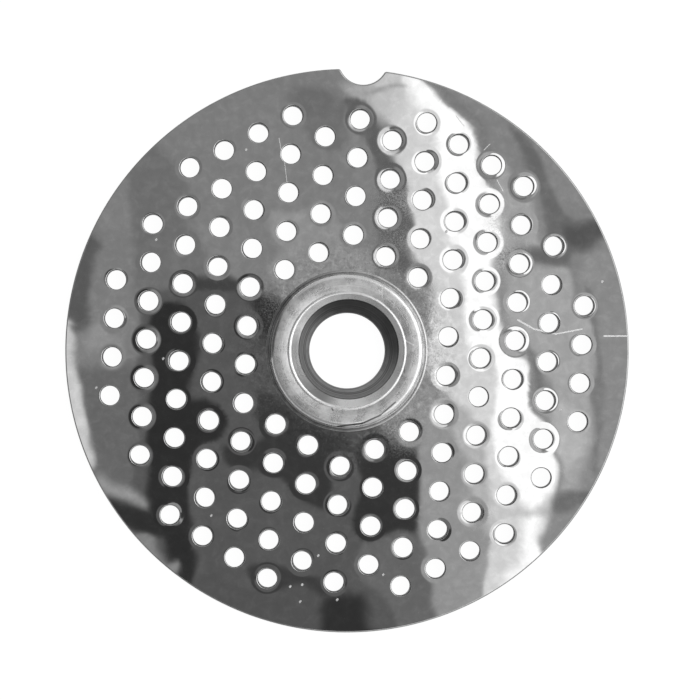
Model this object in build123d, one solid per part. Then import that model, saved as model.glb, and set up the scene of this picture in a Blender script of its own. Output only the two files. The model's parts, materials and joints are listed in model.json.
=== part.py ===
"""Hole plate for a small meat grinder: a round perforated steel disc with a raised hub.

The plate is one solid piece. It lies on its flat cutting face with the hub upwards, as on a table.
All sizes are in millimetres. The origin is on the axis of the bore, in the cutting face.
+Z points from the cutting face to the hub, and +Y points to the locating notch in the rim.
"""

from build123d import *
import math
import os

# Disc, with sharp edges on the ground cutting face
PLATE_DIAMETER = 62.0
PLATE_THICKNESS = 2.0
RIM_EDGE_BREAK = 0.3  # on the hub side, where the punch rolled the edge over

# Locating notch in the rim, which drops over the pin in the grinder's mouth
NOTCH_RADIUS = 2.7
NOTCH_DEPTH = 1.7
NOTCH_CORNER_ROUND = 0.35

# Bore for the stud that carries the knife
STUD_DIAMETER = 8.0
STUD_CLEARANCE = 0.3  # on the diameter

# Hub, a turned boss with drafted sides on the side away from the knife
HUB_RISE = 2.7  # above the hub side of the disc
HUB_LAND_WIDTH = 1.0  # flat ring on top, between the lip and the rounded shoulder
HUB_SHOULDER_ROUND = 0.9
HUB_DRAFT_ANGLE = 8.0
HUB_FOOT_BREAK = 0.3  # sloping ring between the hub's side and the disc

# Mouth of the hub, which opens upwards in a steep throat and then a shallow bevel
THROAT_WIDENING = 1.4  # on the radius, from the bore to the top of the throat
LIP_BEVEL_WIDTH = 0.85  # on the radius, from the throat to the lip
LIP_BEVEL_HEIGHT = 0.6

# Perforation: a triangular lattice with one place on the axis and one row of holes along +Y
HOLE_DIAMETER = 2.15
HOLE_PITCH = 4.25
HUB_BAND = 1.0  # least solid ring between the foot of the hub's side and the edge of a hole
RIM_BAND = 3.0  # least solid ring between the rim and the edge of a hole

# A round hole is drawn with this many flats, which keeps the whole perforation light.
# The flats enclose the round hole's own area, so the open area and the weight are true.
HOLE_FLATS = 12

# Radii that follow from those sizes, from the rim and then from the bore outwards
plate_radius = PLATE_DIAMETER / 2
bore_radius = (STUD_DIAMETER + STUD_CLEARANCE) / 2
throat_radius = bore_radius + THROAT_WIDENING
lip_radius = throat_radius + LIP_BEVEL_WIDTH
shoulder_width = HUB_SHOULDER_ROUND * math.tan(math.radians((90 - HUB_DRAFT_ANGLE) / 2))
side_top_radius = lip_radius + HUB_LAND_WIDTH + shoulder_width

# Heights that follow, and the radius at the foot of the drafted side
hub_top = PLATE_THICKNESS + HUB_RISE
side_foot = PLATE_THICKNESS + HUB_FOOT_BREAK
hub_radius = side_top_radius + (hub_top - side_foot) * math.tan(math.radians(HUB_DRAFT_ANGLE))


def hole_centres():
    """Places of the lattice that lie between the hub's solid ring and the rim's."""
    nearest = hub_radius + HUB_BAND + HOLE_DIAMETER / 2
    farthest = plate_radius - RIM_BAND - HOLE_DIAMETER / 2
    column_step = HOLE_PITCH * math.sin(math.radians(60))
    reach = math.ceil(farthest / column_step)
    centres = []
    for column in range(-reach, reach + 1):
        for row in range(-2 * reach, 2 * reach + 1):
            x = column * column_step
            y = (row + column / 2) * HOLE_PITCH
            if nearest <= math.hypot(x, y) <= farthest:
                centres.append((x, y))
    return centres


def hole_outline():
    """One hole about the origin, as a regular polygon with the area of the round hole."""
    corner_angle = 2 * math.pi / HOLE_FLATS
    area_factor = math.sqrt(corner_angle / math.sin(corner_angle))
    return RegularPolygon(HOLE_DIAMETER / 2 * area_factor, HOLE_FLATS).face().outer_wire()


def notched_outline():
    """The rim, with the notch and its softened corners."""
    with BuildSketch() as outline:
        Circle(plate_radius)
        with Locations((0, plate_radius + NOTCH_RADIUS - NOTCH_DEPTH)):
            Circle(NOTCH_RADIUS, mode=Mode.SUBTRACT)
        fillet(outline.vertices().filter_by(lambda corner: corner.Y > 0), NOTCH_CORNER_ROUND)
    return outline.sketch.face().outer_wire()


def disc():
    """The punched disc: notched rim, bore and perforation, with the upper edge of the rim broken."""
    hole = hole_outline()
    holes = [hole.moved(Location((x, y))) for x, y in hole_centres()]
    punched = Face(notched_outline(), [Wire.make_circle(bore_radius), *holes])
    plain = Solid.extrude(punched, Vector(0, 0, PLATE_THICKNESS))
    hub_side = plain.faces().sort_by(Axis.Z)[-1]
    return chamfer(hub_side.outer_wire().edges(), RIM_EDGE_BREAK)


def hub():
    """The hub, turned from one profile that also gives the throat and the lip."""
    with BuildPart() as boss:
        with BuildSketch(Plane.XZ) as section:
            with BuildLine():
                Polyline(
                    (bore_radius, PLATE_THICKNESS),
                    (hub_radius + HUB_FOOT_BREAK, PLATE_THICKNESS),
                    (hub_radius, side_foot),
                    (side_top_radius, hub_top),
                    (lip_radius, hub_top),
                    (throat_radius, hub_top - LIP_BEVEL_HEIGHT),
                    close=True,
                )
            make_face()
            shoulder = section.vertices().group_by(Axis.Y)[-1].sort_by(Axis.X)[-1]
            fillet(shoulder, HUB_SHOULDER_ROUND)
        revolve(axis=Axis.Z)
    return boss.part


os.makedirs("parts", exist_ok=True)
export_step(disc() + hub(), "parts/grinder_plate.step")
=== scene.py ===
"""Looks of a hole plate for a small meat grinder: polished steel on a white table, seen from above.

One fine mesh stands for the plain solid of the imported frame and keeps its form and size. It has round
holes whose edges were rolled in by the punch, a rounded rim and notch, and a turned hub. The plate is a
mirror, so most of what the photograph shows on it is the room above: that room is a ceiling of soft
light and dark areas, drawn where the photograph shows their reflections.

The sections are measured in millimetres, and the mesh, the camera and the stage are made in metres.
"""

import json
import math
import random

import bpy
import numpy as np
from mathutils.geometry import delaunay_2d_cdt
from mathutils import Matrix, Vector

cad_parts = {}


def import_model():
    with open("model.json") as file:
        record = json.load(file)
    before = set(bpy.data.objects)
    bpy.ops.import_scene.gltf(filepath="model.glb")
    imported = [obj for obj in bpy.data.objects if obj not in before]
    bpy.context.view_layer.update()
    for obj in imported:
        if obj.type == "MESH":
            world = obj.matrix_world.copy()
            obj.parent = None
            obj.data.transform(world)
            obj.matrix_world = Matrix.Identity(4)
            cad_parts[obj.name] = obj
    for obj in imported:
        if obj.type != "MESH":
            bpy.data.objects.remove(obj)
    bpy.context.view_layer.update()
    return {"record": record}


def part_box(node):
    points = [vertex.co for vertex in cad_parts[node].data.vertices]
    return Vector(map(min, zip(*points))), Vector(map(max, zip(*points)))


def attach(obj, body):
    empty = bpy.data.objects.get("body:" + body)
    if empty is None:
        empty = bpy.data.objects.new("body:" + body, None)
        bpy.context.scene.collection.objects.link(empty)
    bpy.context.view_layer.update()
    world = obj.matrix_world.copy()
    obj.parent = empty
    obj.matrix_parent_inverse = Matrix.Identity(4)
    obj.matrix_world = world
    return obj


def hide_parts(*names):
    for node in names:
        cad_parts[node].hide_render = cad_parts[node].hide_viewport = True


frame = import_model()

NODE = "grinder_plate"
MM = 0.001

# Perforation
HOLE_DIAMETER = 2.15
HOLE_PITCH = 4.25
FIRST_HOLE_DISTANCE = 10.6  # from the axis
LAST_HOLE_DISTANCE = 26.95
HOLE_DIP_RADIUS = (1.55, 1.95)  # where the face starts to dip towards a hole, least and most
HOLE_DIP_SLOPE = (0.25, 1.1)  # degrees from level at the edge of the hole, least and most
HOLE_DIP_GROWTH = 1.5  # that slope grows with this power of the way in
HOLE_DIP_SHARES = (0.0, 0.3, 0.55, 0.8)  # of the way in, where the dip has a ring of points
HOLE_DIP_SWING = 0.6  # most that a dip is steeper on one side and flatter on the other, as a share
HOLE_ROLL_RADIUS = 0.11  # the edge that the punch rolled in
HOLE_LEAN = (-0.04, 0.0)  # how far the lower openings lie off the upper ones, on average
HOLE_LEAN_SPREAD = 0.055
HOLE_SEED = 7  # of the differences between the holes

# Rim and notch
NOTCH_CORNER_ROUND = 0.35
NOTCH_CORNER_LEAST = 0.03  # what is left of it on an outline that is drawn in
RIM_ROLL_WIDTH = 0.16  # the upper edge of the rim is rounded over this width, steeper than it is wide
FACE_EDGE = 0.4  # from the rim, where the level face ends
LOWER_BREAK = 0.05  # tiny breaks along all lower edges

# Hub, from its foot inwards
HUB_FOOT_ROUND = 0.3
HUB_DRAFT = 5.0
HUB_SHOULDER_ROUND = 0.62
HUB_LAND_EDGE = 7.82  # radius at which the shoulder starts to turn down
HUB_CROWN = (5.0, -8.0)  # slope of the land at its outer and inner edge, in degrees
LIP_RADIUS = 6.32  # of the top of the small ridge along the lip
LIP_ROUND = 0.3
LIP_VALLEY_ROUND = 0.3  # between the land and that ridge
LIP_RIDGE_SLOPE = 20.0
THROAT_RADIUS = 5.5
BEVEL_HEIGHT = 0.6  # from the lip down to the throat
THROAT_EDGE_ROUND = 0.12
THROAT_OFFSET = (0.18, 0.16)  # the reamed throat sits a little off the hub's axis
THROAT_END = 0.1  # share of the throat's height at which it starts to turn into the bore
BORE_START = 0.1  # how far under the plate's face the bore is straight

# How finely round things are divided
HOLE_SIDES = 48
HUB_SIDES = 144
RIM_SIDES = 248
CORNER_SIDES = 6
NOTCH_SIDES = 30

# The finishes, in the order of the plate's materials, and the tilts at which they take turns
FACE, HUB, THROAT, CUT, RIM, UNDERSIDE = range(6)
RIM_TILT = 20
CUT_TILT = -40
THROAT_TILT = -45
DIP_TILT = -2  # the dip round a hole is flatter, and the hole's own edge steeper

# Polished steel: what it sends back of the light that falls straight on it, and its roughness
STEEL = 0.6
FACE_ROUGHNESS = 0.013

# The photograph: a square picture with the plate's axis at one of its points
PHOTO_SIZE = 700
AXIS_PIXEL = (347.0, 350.7)
MM_PER_PIXEL = 0.10993
PHOTO_TURN = 3.2  # degrees by which the plate lies clockwise in the picture

# The stage, in metres and degrees
CAMERA_HEIGHT = 0.5  # above the plate's face
CEILING_HEIGHT = 0.6  # above the floor
FLOOR_REACH = 3.0
FLOOR_GLOW = 0.97  # with the lamp's light on top, the floor shows white
FLOOR_TONE = 0.08
LAMP_AZIMUTH = 75  # from +Y towards +X
LAMP_ELEVATION = 50
LAMP_SIZE = 1.2
LAMP_POWER = 5.5

# Sizes that the frame gives
mounts = {mount["name"]: mount for mount in frame["record"]["mounts"]}
node_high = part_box(NODE)[1]
plate_radius = node_high.x / MM
hub_top = node_high.z / MM
plate_top = mounts["ring_nut_face"]["pos_m"][2] / MM
throat_top = hub_top - BEVEL_HEIGHT
bore_radius = mounts["bore"]["dims"]["r_mm"]
rim_round = plate_top - mounts["rim"]["dims"]["length_mm"]
notch_radius = mounts["notch"]["dims"]["r_mm"]
notch_centre = mounts["notch"]["pos_m"][1] / MM + notch_radius


def turned(x, y, degrees):
    """A point or vector of the plane, turned anticlockwise."""
    angle = math.radians(degrees)
    return x * math.cos(angle) - y * math.sin(angle), x * math.sin(angle) + y * math.cos(angle)


def on_plate(column, row):
    """The point of the plate, in millimetres, that the photograph shows at a pixel."""
    right = (column - AXIS_PIXEL[0]) * MM_PER_PIXEL
    up = (AXIS_PIXEL[1] - row) * MM_PER_PIXEL
    return turned(right, up, PHOTO_TURN)


def depth_inside(x, y, outline):
    """How far each point of the plane lies inside a closed line, and under 0 outside it."""
    nearest = np.full(x.shape, np.inf)
    within = np.zeros(x.shape, bool)
    for (x0, y0), (x1, y1) in zip(outline, np.roll(outline, -1, 0)):
        dx = x1 - x0
        dy = y1 - y0
        square = dx * dx + dy * dy
        if square == 0:
            continue
        share = np.clip(((x - x0) * dx + (y - y0) * dy) / square, 0, 1)
        nearest = np.minimum(nearest, np.hypot(x - x0 - share * dx, y - y0 - share * dy))
        if dy != 0:
            crosses = (y0 > y) != (y1 > y)
            within ^= crosses & (x < x0 + (y - y0) * dx / dy)
    return np.where(within, nearest, -nearest)


# The mesh

class Shell:
    """Grows one mesh out of rings of points, each point with its own normal."""

    def __init__(self):
        self.points = []
        self.normals = []
        self.faces = []
        self.finishes = []

    def ring(self, points, normals):
        """Adds a ring of points and returns their numbers."""
        first = len(self.points)
        self.points.extend(points)
        self.normals.extend(normals)
        return list(range(first, len(self.points)))

    def bridge(self, lower, upper, finish):
        """Quads between two rings that go round the same way, facing out when the second lies inside."""
        count = len(lower)
        for k in range(count):
            after = (k + 1) % count
            self.faces.append((lower[k], lower[after], upper[after], upper[k]))
            self.finishes.append(finish)

    def level(self, outline, holes, finish, facing_up):
        """A level face between an outline and the holes in it."""
        rings = [outline, *holes]
        members = [index for ring in rings for index in ring]
        flat = [self.points[index][:2] for index in members]
        owner = []
        edges = []
        for number, ring in enumerate(rings):
            first = len(owner)
            count = len(ring)
            owner.extend([number] * count)
            edges.extend((first + k, first + (k + 1) % count) for k in range(count))
        everywhere = 0  # triangles in the holes and the notch too, which are left out below
        same_point = 1e-7
        made = delaunay_2d_cdt(flat, edges, [], everywhere, same_point, True)
        places, triangles, origins = made[0], made[2], made[3]
        source = [found[0] for found in origins]
        middles = np.array([[places[k] for k in triangle] for triangle in triangles]).mean(1)
        depths = depth_inside(middles[:, 0], middles[:, 1], flat[:len(outline)])
        for triangle, depth in zip(triangles, depths):
            owners = {owner[source[k]] for k in triangle}
            in_hole = len(owners) == 1 and owners != {0}
            in_notch = owners == {0} and depth < 0
            if in_hole or in_notch:
                continue
            corners = [members[source[k]] for k in triangle]
            self.faces.append(tuple(corners if facing_up else reversed(corners)))
            self.finishes.append(finish)

    def make(self, name, materials):
        """The object with this mesh. The finishes are places in the list of materials."""
        mesh = bpy.data.meshes.new(name)
        mesh.from_pydata([tuple(value * MM for value in point) for point in self.points], [], self.faces)
        for material in materials:
            mesh.materials.append(material)
        mesh.polygons.foreach_set("material_index", self.finishes)
        mesh.polygons.foreach_set("use_smooth", [True] * len(self.faces))
        mesh.normals_split_custom_set_from_vertices(self.normals)
        mesh.validate()
        made = bpy.data.objects.new(name, mesh)
        bpy.context.scene.collection.objects.link(made)
        return made


def arc_section(centre, bend, first, last, steps):
    """Stations (radius, height, tilt) along an arc. Tilt is 0 where it faces up and 90 where it faces out.

    A bend under 0 is a hollow arc, whose centre lies on the side that it faces.
    """
    stations = []
    for k in range(steps + 1):
        tilt = first + (last - first) * k / steps
        across = math.sin(math.radians(tilt))
        upward = math.cos(math.radians(tilt))
        stations.append((centre[0] + bend * across, centre[1] + bend * upward, tilt))
    return stations


def arc_onward(station, bend, last, steps):
    """The stations that follow one on an arc that starts at its tilt."""
    radius, height, tilt = station
    across = math.sin(math.radians(tilt))
    upward = math.cos(math.radians(tilt))
    return arc_section((radius - bend * across, height - bend * upward), bend, tilt, last, steps)[1:]


def turned_ring(shell, centre, station, sides, swing=(0.0, 0.0)):
    """One ring of a turned shape about a centre. Swing tips its slope towards one side."""
    radius, height, tilt = station
    points = []
    normals = []
    for k in range(sides):
        x = math.cos(2 * math.pi * k / sides)
        y = math.sin(2 * math.pi * k / sides)
        slope = math.radians(tilt) * (1 + swing[0] * x + swing[1] * y)
        across = math.sin(slope)
        points.append((centre[0] + radius * x, centre[1] + radius * y, height))
        normals.append((across * x, across * y, math.cos(slope)))
    return shell.ring(points, normals)


def hole_centres():
    """Places of the triangular lattice between the hub's solid ring and the rim's."""
    column_step = HOLE_PITCH * math.sin(math.radians(60))
    reach = math.ceil(LAST_HOLE_DISTANCE / column_step)
    centres = []
    for column in range(-reach, reach + 1):
        for row in range(-2 * reach, 2 * reach + 1):
            x = column * column_step
            y = (row + column / 2) * HOLE_PITCH
            if FIRST_HOLE_DISTANCE <= math.hypot(x, y) <= LAST_HOLE_DISTANCE:
                centres.append((x, y))
    return centres


def hole_section(chance):
    """Section of one punched hole: the dip in the face, the rolled edge, the wall and the lower break."""
    wall = HOLE_DIAMETER / 2
    steepest = chance.uniform(*HOLE_DIP_SLOPE)
    dip_radius = chance.uniform(*HOLE_DIP_RADIUS)
    slope = math.radians(steepest)
    roll_radius = wall + HOLE_ROLL_RADIUS * (1 - math.sin(slope))
    width = dip_radius - roll_radius
    depth = math.tan(slope) * width / (HOLE_DIP_GROWTH + 1)
    stations = []
    for share in HOLE_DIP_SHARES:
        radius = dip_radius - width * share
        height = plate_top - depth * share ** (HOLE_DIP_GROWTH + 1)
        stations.append((radius, height, -steepest * share ** HOLE_DIP_GROWTH))
    roll_centre = (wall + HOLE_ROLL_RADIUS, plate_top - depth - HOLE_ROLL_RADIUS * math.cos(slope))
    stations += arc_section(roll_centre, HOLE_ROLL_RADIUS, -steepest, -90, steps=6)
    stations += arc_section((wall + LOWER_BREAK, LOWER_BREAK), LOWER_BREAK, -90, -180, steps=1)
    return stations


def add_hole(shell, centre, chance):
    """Adds one hole and returns its rings in the upper and in the lower face."""
    stations = hole_section(chance)
    lean_x = HOLE_LEAN[0] + chance.gauss(0, HOLE_LEAN_SPREAD)
    lean_y = HOLE_LEAN[1] + chance.gauss(0, HOLE_LEAN_SPREAD)
    swing_size = chance.uniform(0, HOLE_DIP_SWING)
    swing_way = chance.uniform(0, 2 * math.pi)
    dip_swing = (swing_size * math.cos(swing_way), swing_size * math.sin(swing_way))
    rings = []
    for station in stations:
        radius, height, tilt = station
        share = 1 - height / plate_top
        place = (centre[0] + lean_x * share, centre[1] + lean_y * share)
        swing = dip_swing if tilt >= DIP_TILT else (0.0, 0.0)
        rings.append(turned_ring(shell, place, station, HOLE_SIDES, swing))
    for before, after, station in zip(rings, rings[1:], stations[1:]):
        shell.bridge(before, after, FACE if station[2] > CUT_TILT else CUT)
    return rings[0], rings[-1]


def rim_outline(inset):
    """Points and outward directions of the notched rim, anticlockwise, drawn in by the inset."""
    corner = max(NOTCH_CORNER_ROUND - inset, NOTCH_CORNER_LEAST)
    from_axis = plate_radius - inset - corner
    from_notch = notch_radius + inset + corner
    corner_y = (from_axis ** 2 - from_notch ** 2 + notch_centre ** 2) / (2 * notch_centre)
    corner_x = math.sqrt(from_axis ** 2 - corner_y ** 2)
    rim_end = math.atan2(corner_y, corner_x)
    corner_end = math.atan2(notch_centre - corner_y, -corner_x)
    notch_start = math.atan2(corner_y - notch_centre, corner_x)
    stretches = (
        ((0, 0), plate_radius - inset, 1, math.pi - rim_end, 2 * math.pi + rim_end, RIM_SIDES),
        ((corner_x, corner_y), corner, 1, rim_end, corner_end, CORNER_SIDES),
        ((0, notch_centre), notch_radius + inset, -1, notch_start, -math.pi - notch_start, NOTCH_SIDES),
        ((-corner_x, corner_y), corner, 1, math.pi - corner_end, math.pi - rim_end, CORNER_SIDES),
    )
    points = []
    directions = []
    for centre, radius, side, start, end, count in stretches:
        for k in range(count):
            angle = start + (end - start) * k / count
            x = math.cos(angle)
            y = math.sin(angle)
            points.append((centre[0] + radius * x, centre[1] + radius * y))
            directions.append((side * x, side * y))
    return points, directions


def rim_ring(shell, station):
    """One ring round the rim and the notch. The station's first number is its distance in from the rim."""
    inset, height, tilt = station
    across = math.sin(math.radians(tilt))
    upward = math.cos(math.radians(tilt))
    outline, directions = rim_outline(inset)
    points = [(x, y, height) for x, y in outline]
    normals = [(across * x, across * y, upward) for x, y in directions]
    return shell.ring(points, normals)


def add_rim(shell):
    """Adds the rim's rounding, wall and lower break, and returns its first and last ring."""
    stations = [(FACE_EDGE, plate_top, 0)]
    for radius, height, tilt in arc_section((0, plate_top - rim_round), rim_round, 0, 90, steps=7):
        stations.append((RIM_ROLL_WIDTH * (1 - radius / rim_round), height, tilt))
    for radius, height, tilt in arc_section((0, LOWER_BREAK), LOWER_BREAK, 90, 180, steps=2):
        stations.append((LOWER_BREAK - radius, height, tilt))
    rings = [rim_ring(shell, station) for station in stations]
    for before, after, station in zip(rings, rings[1:], stations[1:]):
        shell.bridge(after, before, FACE if station[2] < RIM_TILT else RIM)
    return rings[0], rings[-1]


def hub_section():
    """Section of the hub from its foot, over the land and the lip, and down through the bore."""
    outer_tilt, inner_tilt = HUB_CROWN
    outer_slope = math.sin(math.radians(outer_tilt))
    inner_slope = math.sin(math.radians(inner_tilt))
    ridge_slope = math.sin(math.radians(LIP_RIDGE_SLOPE))
    crown_start = HUB_LAND_EDGE + HUB_SHOULDER_ROUND * outer_slope
    crown_end = LIP_RADIUS + LIP_ROUND * ridge_slope + LIP_VALLEY_ROUND * (ridge_slope - inner_slope)
    crown_bend = (crown_start - crown_end) / (outer_slope - inner_slope)
    crown_centre = (crown_start - crown_bend * outer_slope, hub_top - crown_bend)
    crown = arc_section(crown_centre, crown_bend, outer_tilt, inner_tilt, steps=6)
    valley = arc_onward(crown[-1], -LIP_VALLEY_ROUND, LIP_RIDGE_SLOPE, steps=3)

    bevel_tilt = -math.degrees(math.atan(BEVEL_HEIGHT / (LIP_RADIUS - THROAT_RADIUS)))
    throat_tilt = -math.degrees(math.atan((throat_top - plate_top) / (THROAT_RADIUS - bore_radius)))
    lip = arc_onward(valley[-1], LIP_ROUND, bevel_tilt, steps=6)
    middle = math.radians((bevel_tilt + throat_tilt) / 2)
    edge_centre = (
        THROAT_RADIUS - THROAT_EDGE_ROUND * math.sin(middle),
        throat_top - THROAT_EDGE_ROUND * math.cos(middle),
    )
    edge = arc_section(edge_centre, THROAT_EDGE_ROUND, bevel_tilt, throat_tilt, steps=3)
    throat_end = (
        bore_radius + THROAT_END * (THROAT_RADIUS - bore_radius),
        plate_top + THROAT_END * (throat_top - plate_top),
        throat_tilt,
    )
    bore_start = (bore_radius, plate_top - BORE_START, -90)
    bottom = arc_section((bore_radius + LOWER_BREAK, LOWER_BREAK), LOWER_BREAK, -90, -180, steps=2)

    draft_tilt = 90 - HUB_DRAFT
    shoulder_centre = (HUB_LAND_EDGE, crown[0][1] - HUB_SHOULDER_ROUND * math.cos(math.radians(outer_tilt)))
    shoulder = arc_section(shoulder_centre, HUB_SHOULDER_ROUND, draft_tilt, outer_tilt, steps=9)
    side_radius, side_height = shoulder[0][:2]
    foot_height = plate_top + HUB_FOOT_ROUND * (1 - math.cos(math.radians(draft_tilt)))
    foot_radius = side_radius + (side_height - foot_height) * math.tan(math.radians(HUB_DRAFT))
    foot_centre = foot_radius + HUB_FOOT_ROUND * math.sin(math.radians(draft_tilt))
    foot = arc_section((foot_centre, plate_top + HUB_FOOT_ROUND), -HUB_FOOT_ROUND, 0, draft_tilt, steps=5)
    return foot + shoulder + crown[1:] + valley + lip + edge + [throat_end, bore_start] + bottom


def add_hub(shell):
    """Adds the hub and the bore, and returns their ring in the face and in the underside."""
    stations = hub_section()
    rings = []
    for station in stations:
        radius, height, tilt = station
        if tilt > 0 or height < plate_top:
            share = 0.0
        elif height > throat_top:
            share = (hub_top - height) / BEVEL_HEIGHT
        else:
            share = (height - plate_top) / (throat_top - plate_top)
        place = (THROAT_OFFSET[0] * share, THROAT_OFFSET[1] * share)
        rings.append(turned_ring(shell, place, station, HUB_SIDES))
    for before, after, station in zip(rings, rings[1:], stations[1:]):
        shell.bridge(before, after, HUB if station[2] > THROAT_TILT else THROAT)
    return rings[0], rings[-1]


def plate(materials):
    """The whole plate as one closed mesh."""
    chance = random.Random(HOLE_SEED)
    shell = Shell()
    rim_above, rim_below = add_rim(shell)
    hub_above, bore_below = add_hub(shell)
    above = [hub_above]
    below = [bore_below]
    for centre in hole_centres():
        upper, lower = add_hole(shell, centre, chance)
        above.append(upper)
        below.append(lower)
    shell.level(rim_above, above, FACE, True)
    shell.level(rim_below, below, UNDERSIDE, False)
    return shell.make("plate", materials)


# The materials

MIX_SHARE, MIX_FIRST, MIX_SECOND, MIX_RESULT = 0, 6, 7, 2  # a Mix node's sockets for colours
LINE_CORE = 0.3  # share of a line's width that it covers in full


def grey(value):
    """The colour that sends back this share of the light."""
    return (value, value, value, 1.0)


class Graph:
    """Short ways to add shader nodes to one material or to the world, and to join them."""

    def __init__(self, tree):
        self.tree = tree
        tree.nodes.clear()

    def feed(self, socket, value):
        """Gives a socket what another node puts out, or a plain value."""
        if isinstance(value, bpy.types.NodeSocket):
            self.tree.links.new(value, socket)
        else:
            socket.default_value = value

    def node(self, kind, inputs, **settings):
        made = self.tree.nodes.new("ShaderNode" + kind)
        for name, value in settings.items():
            setattr(made, name, value)
        for name, value in inputs.items():
            self.feed(made.inputs[name], value)
        return made

    def math(self, operation, *values, clamped=False):
        made = self.node("Math", {}, operation=operation, use_clamp=clamped)
        for socket, value in zip(made.inputs, values):
            self.feed(socket, value)
        return made.outputs[0]

    def product(self, first, *factors):
        for factor in factors:
            first = self.math("MULTIPLY", first, factor)
        return first

    def vector(self, operation, *values):
        made = self.node("VectorMath", {}, operation=operation)
        for socket, value in zip(made.inputs, values):
            self.feed(socket, value)
        return made.outputs["Value" if operation in ("LENGTH", "DOT_PRODUCT") else "Vector"]

    def scaled(self, vector, factor):
        made = self.node("VectorMath", {"Scale": factor}, operation="SCALE")
        self.feed(made.inputs[0], vector)
        return made.outputs[0]

    def ramp(self, value, start, end, low=0.0, high=1.0):
        """Goes smoothly from low to high while the value goes from start to end."""
        made = self.node(
            "MapRange",
            {"Value": value, "From Min": start, "From Max": end, "To Min": low, "To Max": high},
            interpolation_type="SMOOTHSTEP",
        )
        return made.outputs[0]

    def band(self, value, start, full, fade, end, high):
        """Rises from 0 between start and full, and falls to 0 again between fade and end."""
        return self.product(self.ramp(value, start, full), self.ramp(value, end, fade, high=high))

    def noise(self, place, scale, detail=2.0, roughness=0.5, distortion=0.0):
        made = self.node(
            "TexNoise",
            {"Vector": place, "Scale": scale, "Detail": detail, "Roughness": roughness,
             "Distortion": distortion},
        )
        return made.outputs[0]

    def rings(self, value, scale, cloud):
        """Noise in lines that run where a value stays the same, and wander with a cloud."""
        place = self.node("CombineXYZ", {"X": self.product(value, scale), "Y": cloud})
        return self.noise(place.outputs[0], 1.0)

    def grain(self, place, degrees, along, across, detail=2.0):
        """Noise drawn out into lines that run at an angle to +X."""
        angle = -math.radians(degrees)
        made = self.node("VectorRotate", {"Vector": place, "Angle": angle}, rotation_type="Z_AXIS")
        stretched = self.vector("MULTIPLY", made.outputs[0], (along, across, across))
        return self.noise(stretched, 1.0, detail)

    def blend(self, share, first, second):
        """Goes from the first colour to the second while the share goes from 0 to 1."""
        made = self.node("Mix", {}, data_type="RGBA")
        self.feed(made.inputs[MIX_SHARE], share)
        self.feed(made.inputs[MIX_FIRST], first)
        self.feed(made.inputs[MIX_SECOND], second)
        return made.outputs[MIX_RESULT]

    def tint(self, tone, share, shade):
        """Lays a grey over a tone, as far as the share says."""
        return self.blend(share, tone, grey(shade))

    def place(self):
        """The place on the plate in millimetres, in the plate's own frame."""
        return self.scaled(self.node("TexCoord", {}).outputs["Object"], 1 / MM)

    def near_line(self, place, start, end, width):
        """1 on the straight line between two points of the face, and 0 from its width on."""
        along = (end[0] - start[0], end[1] - start[1], 0.0)
        square = along[0] ** 2 + along[1] ** 2
        offset = self.vector("SUBTRACT", place, (start[0], start[1], 0.0))
        share = self.math("MULTIPLY", self.vector("DOT_PRODUCT", offset, along), 1 / square, clamped=True)
        nearest = self.scaled(along, share)
        gap = self.vector("LENGTH", self.vector("SUBTRACT", offset, nearest))
        return self.ramp(gap, width, LINE_CORE * width)


def steel(name):
    """A new metal material with its graph and shader."""
    material = bpy.data.materials.new(name)
    material.use_nodes = True
    graph = Graph(material.node_tree)
    shader = graph.node("BsdfPrincipled", {"Metallic": 1.0})
    graph.node("OutputMaterial", {"Surface": shader.outputs[0]})
    return material, graph, shader


def dress(graph, shader, tone, roughness, height=None, depth=0.0):
    """Gives a metal its tone and roughness, and where it has one a bump with a depth in millimetres."""
    graph.feed(shader.inputs["Base Color"], tone)
    graph.feed(shader.inputs["Roughness"], roughness)
    if height is not None:
        bump = graph.node("Bump", {"Height": height, "Distance": depth * MM, "Strength": 1.0})
        graph.feed(shader.inputs["Normal"], bump.outputs[0])


HAZES = (  # pixel of the photograph at the middle of a hazy patch, and how far it reaches in millimetres
    ((390, 205), 3.8),
    ((390, 240), 3.4),
    ((506, 228), 3.4),
    ((514, 256), 3.0),
    ((396, 440), 3.6),
    ((350, 446), 4.4),
    ((478, 514), 2.4),
)
HAZE_ROUGHNESS = 0.075
HAIRLINE_ANGLES = (28.0, 75.0, 141.0)
HAIRLINE_ROUGHNESS = 0.016
SCRATCHES = (  # pixel of the photograph at each end, and the width in millimetres
    ((518, 320), (534, 329), 0.13),
    ((534, 329), (556, 334), 0.13),
    ((556, 334), (582, 329), 0.11),
    ((604, 336), (627, 336), 0.11),
    ((279, 138), (283, 160), 0.05),
    ((284, 158), (287, 182), 0.05),
    ((456, 116), (464, 126), 0.05),
    ((484, 150), (490, 144), 0.05),
    ((497, 180), (503, 191), 0.05),
)
SCRATCH_ROUGHNESS = 0.35
SPECKS = (  # pixel of the photograph
    (383, 575), (337, 600), (156, 240), (602, 282), (246, 150), (318, 556), (96, 388), (290, 587),
    (302, 585), (163, 359), (211, 516), (300, 602), (446, 232), (560, 410),
)
SPECK_STRETCH = (0.05, 0.08)
SPECK_WIDTH = 0.16
SPECK_ROUGHNESS = 0.5


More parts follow.
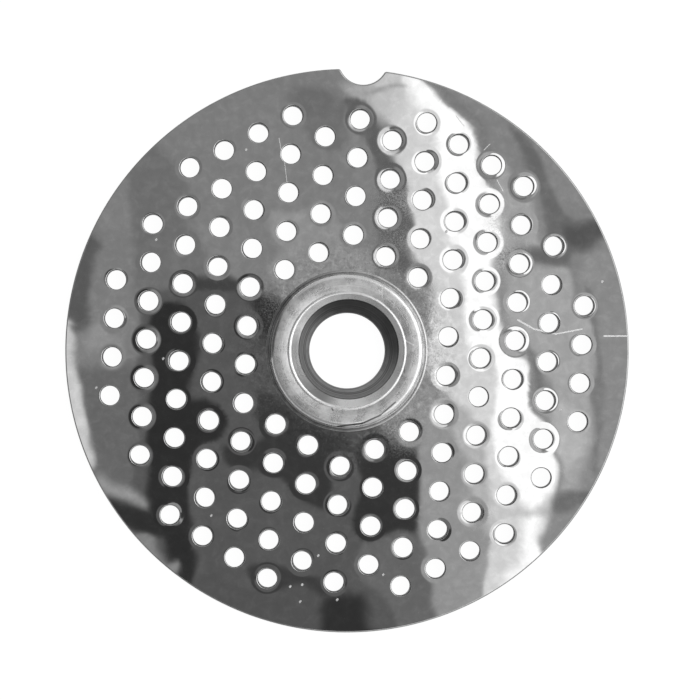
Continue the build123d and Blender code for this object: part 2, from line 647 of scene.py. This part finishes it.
def polished_face():
    """The polished upper face: a mirror with a faint wave, hairlines, haze, specks and scratches with a
    painted glint.
    """
    material, graph, shader = steel("polished_face")
    flat = graph.vector("MULTIPLY", graph.place(), (1.0, 1.0, 0.0))
    near_hub = graph.ramp(graph.vector("LENGTH", flat), 14.0, 9.0, low=0.03)
    cloud = graph.noise(flat, 0.16, 3.0)
    mottle = graph.noise(flat, 0.9, 4.0, 0.62, 0.4)
    fine = graph.noise(flat, 5.5, 4.0, 0.7)
    residue = graph.noise(flat, 1.7, 5.0, 0.7, 0.6)
    patchy = graph.ramp(graph.noise(flat, 0.35), 0.35, 0.65, low=0.4)
    cloudy = graph.product(near_hub, patchy)
    for spot, reach in HAZES:
        x, y = on_plate(*spot)
        gap = graph.vector("LENGTH", graph.vector("SUBTRACT", flat, (x, y, 0.0)))
        cloudy = graph.math("MAXIMUM", cloudy, graph.ramp(gap, reach, 0.2 * reach, high=0.9))

    tone = graph.blend(graph.ramp(cloud, 0.35, 0.65), grey(STEEL * 0.95), grey(STEEL * 1.03))
    tone = graph.tint(tone, graph.ramp(mottle, 0.3, 0.6, low=0.38, high=0.0), STEEL * 0.76)
    tone = graph.tint(tone, graph.ramp(mottle, 0.5, 0.72, high=0.4), STEEL * 1.25)
    grime = graph.product(cloudy, graph.ramp(fine, 0.5, 0.66, high=0.5))
    tone = graph.tint(tone, grime, STEEL * 0.55)
    dark_residue = graph.product(near_hub, graph.ramp(residue, 0.5, 0.62, high=0.6))
    tone = graph.tint(tone, dark_residue, STEEL * 0.6)
    light_residue = graph.product(near_hub, graph.ramp(residue, 0.46, 0.36, high=0.6))
    tone = graph.tint(tone, light_residue, STEEL * 1.45)

    marks = graph.product(cloudy, graph.ramp(fine, 0.36, 0.7), HAZE_ROUGHNESS)
    for degrees in HAIRLINE_ANGLES:
        hairs = graph.ramp(graph.grain(flat, degrees, 0.06, 7.0), 0.64, 0.8, high=HAIRLINE_ROUGHNESS)
        marks = graph.math("MAXIMUM", marks, hairs)
    for start, end, width in SCRATCHES:
        scratch_and_glint = graph.near_line(flat, on_plate(*start), on_plate(*end), width)
        marks = graph.math("MAXIMUM", marks, graph.product(scratch_and_glint, SCRATCH_ROUGHNESS))
        # painted glint: the scratches' tone is lighter as well as their roughness higher
        tone = graph.tint(tone, graph.product(scratch_and_glint, 0.6), 0.95)
    for spot in SPECKS:
        x, y = on_plate(*spot)
        speck = graph.near_line(flat, (x, y), (x + SPECK_STRETCH[0], y + SPECK_STRETCH[1]), SPECK_WIDTH)
        marks = graph.math("MAXIMUM", marks, graph.product(speck, SPECK_ROUGHNESS))

    wave = graph.noise(flat, 0.17, 1.0)
    ripple = graph.product(graph.noise(flat, 1.1, 3.0, 0.6), graph.product(near_hub, 0.12))
    height = graph.math("ADD", wave, ripple)
    dress(graph, shader, tone, graph.math("ADD", marks, FACE_ROUGHNESS), height, depth=0.006)
    return material


# A few of these are knocks; the rest are light and dark lines along the shoulder and the lip, painted
# highlights and painted shade.
HUB_KNOCKS_AND_PAINTED_LIGHT = (  # as SCRATCHES, with the tone of the metal there
    ((338, 426), (362, 423), 0.13, 0.1),
    ((362, 423), (380, 415), 0.13, 0.1),
    ((380, 415), (395, 402), 0.12, 0.16),
    ((376, 423), (394, 411), 0.12, 0.85),
    ((382, 288), (382, 298), 0.07, 0.85),
    ((378, 290), (382, 294), 0.06, 0.85),
    ((404, 340), (413, 345), 0.12, 0.9),
    ((332, 408), (333, 410), 0.12, 0.12),
    ((290, 298), (280, 314), 0.4, 0.3),
    ((280, 314), (274, 334), 0.42, 0.26),
    ((274, 334), (271, 356), 0.36, 0.24),
    ((403, 356), (404, 372), 0.08, 0.25),
)

# Directions from the axis to the sides of the hub's bevel and foot that get painted shade, and to the
# throat's side that gets painted shade
SHADED_BEVEL_SIDE = (-0.85, -0.53, 0.0)
SHADED_FOOT_SIDE = (-0.97, -0.24, 0.0)
SHADED_THROAT_SIDE = (0.5, 0.87, 0.0)


def turned_hub():
    """The hub, turned and then rubbed down: satin, with fine rings, blotches, knocks, painted highlights
    and painted shade.
    """
    material, graph, shader = steel("turned_hub")
    place = graph.place()
    flat = graph.vector("MULTIPLY", place, (1.0, 1.0, 0.0))
    radius = graph.vector("LENGTH", flat)
    direction = graph.vector("NORMALIZE", flat)
    cloud = graph.noise(place, 0.7, 5.0, 0.65)
    rings = graph.rings(radius, 5.0, cloud)
    tone = graph.blend(graph.ramp(cloud, 0.3, 0.7), grey(0.46), grey(0.68))
    tone = graph.tint(tone, graph.ramp(rings, 0.5, 0.75, high=0.4), 0.8)
    speckle = graph.ramp(graph.noise(place, 6.0, 4.0, 0.75), 0.52, 0.7, high=0.5)
    tone = graph.tint(tone, speckle, 0.34)
    # painted highlight: a lighter ring round the shoulder, where it mirrors the light
    painted_shoulder_highlight = graph.band(radius, 7.8, 8.05, 8.3, 8.45, 0.6)
    tone = graph.tint(tone, painted_shoulder_highlight, 0.92)
    # knocks, and painted highlights and painted shade along the shoulder and the lip
    for start, end, width, shade in HUB_KNOCKS_AND_PAINTED_LIGHT:
        knock_and_painted_light = graph.near_line(flat, on_plate(*start), on_plate(*end), width)
        tone = graph.tint(tone, knock_and_painted_light, shade)

    # a lighter tone from just inside the lip down the bevel
    bevel_lightening = graph.ramp(radius, 6.25, 6.05, high=0.6)
    tone = graph.tint(tone, bevel_lightening, 0.9)
    # painted shade: the bevel darkened on its lower left side
    bevel_shade_side = graph.vector("DOT_PRODUCT", direction, SHADED_BEVEL_SIDE)
    painted_bevel_shade = graph.product(graph.ramp(bevel_shade_side, 0.55, 0.85), graph.ramp(radius, 6.2, 6.05, high=0.75))
    tone = graph.tint(tone, painted_bevel_shade, 0.12)
    # painted highlight: a lighter band along the lip's ridge
    painted_lip_highlight = graph.band(radius, 6.0, 6.24, 6.36, 6.6, 0.6)
    tone = graph.tint(tone, painted_lip_highlight, 0.95)
    # painted shade: the hub's foot darkened in patches, most on the left side
    foot_shade_side = graph.vector("DOT_PRODUCT", direction, SHADED_FOOT_SIDE)
    foot = graph.product(
        graph.ramp(radius, 8.5, 8.62),
        graph.ramp(cloud, 0.3, 0.65, low=0.3, high=0.85),
        graph.ramp(foot_shade_side, -0.5, 0.45, low=0.2),
    )
    tone = graph.tint(tone, foot, 0.1)
    height = graph.math("MULTIPLY_ADD", rings, 0.35, cloud)
    dress(graph, shader, tone, graph.ramp(cloud, 0.3, 0.7, low=0.24, high=0.34), height, depth=0.025)
    return material


def reamed_throat():
    """The throat and the bore, reamed and worn: dull, with rings round the axis, and painted shade in a
    dark tone that goes near black on the far side.
    """
    material, graph, shader = steel("reamed_throat")
    place = graph.place()
    cloud = graph.noise(place, 0.8, 4.0, 0.6)
    rings = graph.rings(graph.node("SeparateXYZ", {"Vector": place}).outputs["Z"], 7.0, cloud)
    tone = graph.blend(graph.ramp(rings, 0.35, 0.65), grey(0.12), grey(0.32))
    # painted shade: the throat's far side darkened nearly to black
    shaded_side = graph.vector("DOT_PRODUCT", place, SHADED_THROAT_SIDE)
    tone = graph.tint(tone, graph.ramp(shaded_side, -1.5, 4.0, high=0.92), 0.02)
    dress(graph, shader, tone, graph.ramp(cloud, 0.3, 0.7, low=0.36, high=0.5), rings, depth=0.02)
    return material


def turned_rim():
    """The rim's wall, turned to size: satin, with fine lines round the plate, and painted shade in its
    tone, darker than the face's.
    """
    material, graph, shader = steel("turned_rim")
    place = graph.place()
    lines = graph.noise(graph.vector("MULTIPLY", place, (0.12, 0.12, 9.0)), 1.0, 3.0)
    cloud = graph.noise(place, 0.8, 4.0, 0.6)
    # painted shade: the rim's tone is kept darker than the face's
    tone = graph.blend(graph.ramp(lines, 0.35, 0.65), grey(0.26), grey(0.42))
    tone = graph.tint(tone, graph.ramp(cloud, 0.5, 0.7, high=0.5), 0.2)
    dress(graph, shader, tone, graph.ramp(cloud, 0.3, 0.7, low=0.28, high=0.4), lines, depth=0.015)
    return material


def cut_wall():
    """The walls of the punched holes, left rough, with painted shade in their near-black tone."""
    material, graph, shader = steel("cut_wall")
    cloud = graph.noise(graph.place(), 2.5, 4.0, 0.6)
    # painted shade: a near-black tone on the hole walls
    tone = graph.blend(graph.ramp(cloud, 0.3, 0.7), grey(0.035), grey(0.075))
    dress(graph, shader, tone, graph.ramp(cloud, 0.3, 0.7, low=0.5, high=0.62))
    return material


def ground_underside():
    """The ground cutting face: fine lines that the grinding wheel left."""
    material, graph, shader = steel("ground_underside")
    lines = graph.grain(graph.place(), 20, 0.05, 12.0, 3.0)
    tone = graph.blend(graph.ramp(lines, 0.3, 0.7), grey(0.5), grey(0.6))
    dress(graph, shader, tone, graph.ramp(lines, 0.3, 0.7, low=0.22, high=0.36))
    return material


# The room that the plate mirrors. Each area has the shade, 0 for black and 255 for white, at which the
# photograph shows it on the plate, the width over which its edge fades, and its outline in pixels of the
# photograph. Later areas lie over earlier ones, and the outlines go on past the rim, for the edges that
# tilt outwards. A shade over 255 keeps a lit area white where the steel is dull.

LEFT_SHADE = 127  # where no area lies, on the left and on the right
RIGHT_SHADE = 142
SHADE_COLUMNS = (300, 520)  # of pixels, between which the one passes into the other

REFLECTIONS = (
    ("light wall beyond the rim, right and below", 236, 80, (
        (800, -500), (1700, -600), (1700, 1700), (200, 1700), (360, 1000), (700, 860))),
    ("darker upper left", 112, 14, (
        (136, 130), (166, 150), (186, 185), (190, 225), (208, 262), (212, 285), (166, 296), (140, 300),
        (136, 250), (131, 200), (126, 165))),
    ("dark at the left rim", 90, 12, (
        (20, 200), (100, 236), (92, 262), (90, 300), (84, 326), (40, 330))),
    ("lighter left", 146, 16, (
        (90, 328), (108, 320), (120, 346), (122, 376), (104, 400), (86, 396), (80, 360))),
    ("lower left", 104, 30, (
        (40, 380), (150, 370), (150, 500), (60, 500))),
    ("darker edge of it", 88, 8, (
        (139, 330), (148, 312), (152, 500), (132, 498), (136, 460), (140, 420), (139, 380))),
    ("window on the left", 202, 7, (
        (50, 322), (68, 330), (73, 350), (76, 378), (81, 404), (89, 436), (91, 462), (80, 474),
        (50, 486), (-160, 560), (-160, 330))),
    ("light above the hub", 145, 12, (
        (262, 218), (318, 210), (345, 233), (372, 252), (386, 274), (350, 300), (300, 306), (282, 288),
        (270, 270), (282, 246))),
    ("darker top", 112, 14, (
        (292, 92), (338, 96), (348, 124), (340, 148), (318, 146), (300, 120))),
    ("lower half", 88, 5, (
        (143, 306), (150, 292), (178, 287), (196, 282), (232, 280), (262, 290), (280, 300), (310, 330),
        (400, 400), (420, 440), (418, 510), (420, 545), (434, 575), (445, 700), (350, 760), (-100, 760),
        (60, 560), (100, 500), (146, 504), (146, 440), (144, 370))),
    ("dark top of it", 68, 5, (
        (176, 284), (205, 280), (235, 281), (262, 290), (282, 302), (276, 330), (266, 350), (256, 338),
        (250, 308), (232, 292), (205, 290), (180, 292))),
    ("dark corner by the hub", 48, 6, (
        (254, 296), (280, 300), (278, 326), (268, 340), (258, 326))),
    ("dark column", 47, 7, (
        (150, 320), (162, 306), (178, 304), (192, 314), (198, 340), (196, 365), (190, 394), (206, 402),
        (224, 418), (222, 438), (200, 448), (190, 462), (187, 500), (192, 540), (196, 560), (184, 590),
        (166, 566), (162, 540), (155, 525), (148, 490), (148, 430), (150, 375))),
    ("dark under the hub", 58, 8, (
        (262, 392), (288, 405), (315, 425), (346, 430), (350, 448), (334, 462), (328, 470), (330, 490),
        (322, 508), (304, 502), (286, 480), (262, 468), (238, 472), (224, 462), (226, 446), (250, 442),
        (262, 432), (254, 414))),
    ("dark block", 54, 7, (
        (356, 446), (382, 440), (404, 446), (420, 452), (420, 490), (418, 530), (396, 534), (362, 534),
        (354, 514), (360, 486))),
    ("light block below it", 104, 10, (
        (364, 540), (410, 538), (428, 560), (440, 620), (400, 640), (388, 600), (362, 580))),
    ("dark line above the lower rim", 62, 8, (
        (256, 566), (300, 574), (330, 584), (320, 594), (285, 588), (256, 580))),
    ("lower rim", 84, 12, (
        (200, 574), (250, 590), (320, 600), (330, 760), (250, 760), (150, 700))),
    ("black gap in the lower rim", 50, 16, (
        (322, 606), (338, 594), (352, 597), (364, 608), (374, 700), (330, 700))),
    ("dark lower left rim", 50, 7, (
        (104, 502), (140, 510), (160, 520), (166, 536), (150, 538), (124, 534), (90, 540))),
    ("light triangle below it", 134, 6, (
        (60, 560), (112, 528), (134, 532), (152, 535), (157, 549), (165, 562), (176, 576), (120, 700))),
    ("light streak above it", 150, 14, (
        (94, 474), (112, 484), (132, 490), (148, 500), (146, 508), (128, 504), (106, 496), (90, 484))),
    ("dark beside the band", 98, 8, (
        (342, 100), (362, 100), (380, 126), (392, 156), (402, 180), (404, 205), (412, 226), (406, 250),
        (412, 266), (402, 280), (388, 286), (384, 262), (380, 240), (376, 215), (384, 190), (376, 164),
        (364, 134), (350, 112))),
    ("grey below the band", 149, 7, (
        (380, 404), (400, 392), (440, 396), (456, 408), (470, 440), (484, 480), (488, 530), (484, 600),
        (480, 760), (446, 760), (434, 600), (427, 570), (420, 530), (420, 452), (404, 440), (386, 436))),
    ("shade beside the hub", 126, 6, (
        (380, 268), (396, 268), (414, 284), (427, 300), (431, 318), (424, 324), (412, 302), (398, 288),
        (384, 282))),
    ("bright band", 214, 5, (
        (366, -100), (368, 72), (374, 96), (382, 112), (390, 130), (396, 160), (403, 185), (408, 205),
        (414, 228), (412, 250), (424, 276), (432, 300), (430, 330), (426, 350), (432, 372), (446, 390),
        (456, 410), (464, 430), (468, 455), (478, 480), (484, 510), (488, 530), (488, 560), (484, 600),
        (480, 760), (640, 760), (580, 640), (545, 570), (547, 520), (554, 503), (557, 478), (554, 450),
        (545, 425), (532, 408),
        (530, 382), (526, 359), (511, 347), (503, 326), (499, 290), (498, 255), (498, 235), (498, 212),
        (490, 186), (482, 170), (482, 152), (475, 134), (454, 110), (438, 94), (416, 78), (390, -100))),
    ("dim upper end of the band", 196, 20, (
        (350, -100), (362, 74), (368, 104), (386, 122), (398, 108), (404, 92), (392, -100))),
    ("light below the notch", 168, 8, (
        (344, 84), (368, 80), (378, 92), (370, 102), (352, 97))),
    ("dim left side of it", 178, 12, (
        (440, 400), (466, 408), (480, 440), (490, 480), (500, 516), (484, 530), (474, 500), (464, 460),
        (452, 430))),
    ("grey line across it", 200, 8, (
        (484, 506), (520, 503), (556, 498), (556, 514), (520, 516), (486, 522))),
    ("line by the notch", 158, 3, (
        (366, 90), (392, 86), (414, 86), (414, 89), (392, 90), (368, 94))),
    ("upper core of the band", 262, 12, (
        (408, 60), (450, 94), (480, 130), (488, 160), (494, 190), (503, 214), (503, 240),
        (496, 262), (494, 300), (496, 334), (484, 350), (470, 350), (464, 300), (455, 250), (446, 200),
        (438, 160), (430, 120), (408, 92))),
    ("lower core of the band", 262, 9, (
        (496, 326), (511, 349), (526, 360), (530, 386), (535, 410), (548, 428), (555, 450), (556, 480),
        (548, 502), (528, 506), (508, 484), (498, 456), (496, 420), (498, 380), (490, 350))),
    ("foot of the band", 258, 12, (
        (526, 522), (546, 518), (548, 560), (600, 760), (520, 760), (505, 600), (518, 560))),
    ("upper right", 134, 3, (
        (416, 60), (560, -50), (760, 100), (800, 300), (700, 560), (560, 560), (548, 540), (549, 520),
        (555, 503), (558, 478), (554, 450), (546, 427), (533, 412), (530, 384), (526, 361), (511, 349),
        (503, 328), (499, 290), (498, 262), (500, 240), (499, 214), (491, 192), (482, 174), (482, 152),
        (472, 130), (454, 111), (438, 95), (418, 79), (402, 66))),
    ("dark line beside the band", 122, 8, (
        (424, 76), (446, 90), (468, 104), (484, 130), (492, 160), (484, 166), (477, 130), (452, 104))),
    ("lighter spot right of it", 164, 10, (
        (492, 168), (508, 168), (516, 190), (534, 210), (540, 244), (516, 250), (500, 250), (496, 215))),
    ("dark streak", 108, 7, (
        (508, 130), (528, 142), (546, 174), (560, 208), (580, 222), (640, 212), (640, 240), (600, 250),
        (572, 252), (560, 266), (546, 256), (552, 232), (540, 200), (524, 166))),
    ("darkest part of it", 88, 7, (
        (562, 228), (582, 228), (612, 222), (640, 222), (640, 240), (600, 244), (568, 242))),
    ("dark bridge to the band", 106, 10, (
        (500, 256), (516, 250), (540, 248), (562, 244), (568, 262), (548, 268), (528, 264), (512, 272),
        (500, 272))),
    ("rim at the right", 142, 14, (
        (590, 250), (760, 240), (760, 520), (560, 560), (552, 500), (590, 470))),
    ("light right", 166, 8, (
        (504, 262), (545, 268), (566, 268), (574, 300), (592, 316), (592, 430), (580, 480), (562, 500),
        (561, 476), (558, 448), (549, 424), (538, 408), (535, 380), (529, 358), (514, 345), (508, 326),
        (504, 290))),
    ("shade beside the lower band", 118, 9, (
        (512, 343), (530, 352), (544, 362), (549, 384), (546, 402), (538, 400), (535, 380), (528, 358),
        (514, 347))),
    ("bright spot of it", 182, 10, (
        (552, 404), (580, 420), (582, 452), (566, 468), (556, 440))),
    ("dark line on the right", 124, 4, (
        (588, 290), (596, 300), (598, 340), (600, 380), (603, 410), (600, 440), (596, 470), (590, 470),
        (596, 430), (594, 380), (592, 330))),
    ("dark right of the wedge", 112, 8, (
        (552, 506), (562, 494), (584, 490), (640, 480), (640, 506), (584, 506), (566, 508))),
)

# The lines of the ceiling's grid, in pixels: close together over the plate, then ever wider apart
CLOSE_LINES = (40, 660, 3.0)  # from, up to, step
WIDE_LINES = (12, 1300, 22)  # nearest and farthest past those on each side, and how many


def closed_curve(corners, steps=8):
    """A smooth closed line through the corners."""
    corner = np.array(corners, float)
    before = np.roll(corner, 1, 0)
    after = np.roll(corner, -1, 0)
    second = np.roll(corner, -2, 0)
    points = []
    for share in np.arange(steps) / steps:
        points.append(0.5 * (
            2 * corner
            + (after - before) * share
            + (2 * before - 5 * corner + 4 * after - second) * share ** 2
            + (3 * corner - before - 3 * after + second) * share ** 3
        ))
    return np.stack(points, 1).reshape(-1, 2)


def smooth_step(value, start, end):
    """0 up to the start, 1 from the end on, and smooth between them."""
    share = np.clip((value - start) / (end - start), 0, 1)
    return share * share * (3 - 2 * share)


def room_shade(columns, rows):
    """The shade of the mirrored room over the whole ceiling."""
    shade = LEFT_SHADE + (RIGHT_SHADE - LEFT_SHADE) * smooth_step(columns, *SHADE_COLUMNS)
    for _, own_shade, fade, corners in REFLECTIONS:
        share = smooth_step(depth_inside(columns, rows, closed_curve(corners)), -fade / 2, fade / 2)
        shade = shade + (own_shade - shade) * share
    return shade


def light_for(shade):
    """The light that shows on polished steel at a shade from 0 to 255, which is on the sRGB curve."""
    share = shade / 255
    linear = np.where(share <= 0.04045, share / 12.92, ((share + 0.055) / 1.055) ** 2.4)
    return linear / STEEL


def stage_sheet(name, points, faces):
    """A sheet of the stage, its new material and that material's graph."""
    mesh = bpy.data.meshes.new(name)
    mesh.from_pydata(points, [], faces)
    material = bpy.data.materials.new(name)
    material.use_nodes = True
    mesh.materials.append(material)
    made = bpy.data.objects.new(name, mesh)
    bpy.context.scene.collection.objects.link(made)
    return made, material, Graph(material.node_tree)


def ceiling(camera_place):
    """The room above, as one sheet whose light follows the shades of the mirrored areas."""
    close = np.arange(*CLOSE_LINES)
    wide = np.geomspace(*WIDE_LINES)
    lines = np.concatenate([close[0] - wide[::-1], close, close[-1] + wide])
    columns, rows = np.meshgrid(lines, lines)
    light = light_for(room_shade(columns, rows))
    x, y = on_plate(columns, rows)
    rise = (CEILING_HEIGHT - plate_top * MM) / (camera_place[2] - plate_top * MM)
    x = x * MM + (x * MM - camera_place[0]) * rise
    y = y * MM + (y * MM - camera_place[1]) * rise
    count = len(lines)
    points = np.stack([x, y, np.full_like(x, CEILING_HEIGHT)], -1).reshape(-1, 3)
    corner = (np.arange(count - 1)[:, None] * count + np.arange(count - 1)).reshape(-1)
    faces = np.stack([corner, corner + 1, corner + count + 1, corner + count], -1)
    made, material, graph = stage_sheet("ceiling", points.tolist(), faces.tolist())
    values = made.data.attributes.new("light", "FLOAT", "POINT").data
    values.foreach_set("value", light.astype(np.float32).reshape(-1))
    strength = graph.node("Attribute", {}, attribute_name="light").outputs["Fac"]
    glow = graph.node("Emission", {"Strength": strength})
    graph.node("OutputMaterial", {"Surface": glow.outputs[0]})
    material.cycles.emission_sampling = "NONE"
    made.visible_camera = False
    made.visible_shadow = False


def floor():
    """A pale table top that shows white, with the plate's soft shadow on it."""
    reach = FLOOR_REACH
    points = [(-reach, -reach, 0), (reach, -reach, 0), (reach, reach, 0), (-reach, reach, 0)]
    made, material, graph = stage_sheet("floor", points, [(0, 1, 2, 3)])
    rays = graph.node("LightPath", {}).outputs
    seen = graph.math("MAXIMUM", rays["Is Camera Ray"], rays["Is Glossy Ray"])
    seen = graph.math("MAXIMUM", seen, rays["Is Transmission Ray"])
    glow = graph.node("Emission", {"Strength": graph.product(seen, FLOOR_GLOW)})
    paint = graph.node("BsdfDiffuse", {"Color": grey(FLOOR_TONE)})
    both = graph.node("AddShader", {})
    graph.feed(both.inputs[0], glow.outputs[0])
    graph.feed(both.inputs[1], paint.outputs[0])
    graph.node("OutputMaterial", {"Surface": both.outputs[0]})


# The world's light, by the direction that it comes from
LIT_SIDE = (0.9, 0.44, 0.0)
LOW_LIGHT = 0.55  # least light from low down, for the rim and the hub's side
PANEL_SCALE = 7.0
PANEL_DIMMING = 0.4


def world():
    """A pale studio: white at the horizon, light on the right, darker on the left and overhead.

    Low down it has soft darker panels, which the rim and the hub's side mirror.
    """
    made = bpy.data.worlds.new("studio")
    made.use_nodes = True
    bpy.context.scene.world = made
    graph = Graph(made.node_tree)
    direction = graph.node("TexCoord", {}).outputs["Generated"]
    height = graph.node("SeparateXYZ", {"Vector": direction}).outputs["Z"]
    towards_light = graph.vector("DOT_PRODUCT", direction, LIT_SIDE)
    side = graph.ramp(towards_light, -0.6, 0.25, low=0.3, high=0.95)
    overhead = graph.ramp(height, 0.55, 0.95, low=1.0, high=0.6)
    low = graph.ramp(height, 0.62, 0.4)
    strength = graph.math("MAXIMUM", graph.product(side, overhead), graph.product(low, LOW_LIGHT))
    panels = graph.ramp(graph.noise(direction, PANEL_SCALE, 1.0), 0.42, 0.58)
    between_panels = graph.math("SUBTRACT", 1.0, graph.product(panels, low, PANEL_DIMMING))
    strength = graph.product(strength, between_panels)
    horizon = graph.ramp(height, 0.16, 0.02)
    camera_ray = graph.node("LightPath", {}).outputs["Is Camera Ray"]
    shown = graph.math("MAXIMUM", graph.math("MAXIMUM", strength, horizon), camera_ray)
    background = graph.node("Background", {"Strength": shown})
    graph.node("OutputWorld", {"Surface": background.outputs[0]})


def soft_lamp():
    """A large round lamp, one metre from the plate, that points at it."""
    lamp = bpy.data.lights.new("lamp", "AREA")
    lamp.shape = "DISK"
    lamp.size = LAMP_SIZE
    lamp.energy = LAMP_POWER
    made = bpy.data.objects.new("lamp", lamp)
    azimuth = math.radians(LAMP_AZIMUTH)
    elevation = math.radians(LAMP_ELEVATION)
    across = math.cos(elevation)
    made.location = (across * math.sin(azimuth), across * math.cos(azimuth), math.sin(elevation))
    made.rotation_euler = (math.pi / 2 - elevation, 0, math.pi - azimuth)
    bpy.context.scene.collection.objects.link(made)


def camera():
    """The camera straight above, turned as the photograph is."""
    x, y = on_plate(PHOTO_SIZE / 2, PHOTO_SIZE / 2)
    lens = bpy.data.cameras.new("camera")
    lens.sensor_width = 36.0
    lens.lens = lens.sensor_width * CAMERA_HEIGHT / (PHOTO_SIZE * MM_PER_PIXEL * MM)
    lens.clip_start = 0.01
    lens.clip_end = 10.0
    made = bpy.data.objects.new("camera", lens)
    made.location = (x * MM, y * MM, CAMERA_HEIGHT + plate_top * MM)
    made.rotation_euler = (0, 0, math.radians(PHOTO_TURN))
    bpy.context.scene.collection.objects.link(made)
    bpy.context.scene.camera = made
    return made


made_camera = camera()
finishes = [polished_face(), turned_hub(), reamed_throat(), cut_wall(), turned_rim(), ground_underside()]
grinder_plate = plate(finishes)
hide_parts(NODE)
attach(grinder_plate, "root")
ceiling(made_camera.location)
floor()
world()
soft_lamp()
bpy.context.scene.view_settings.view_transform = "Standard"
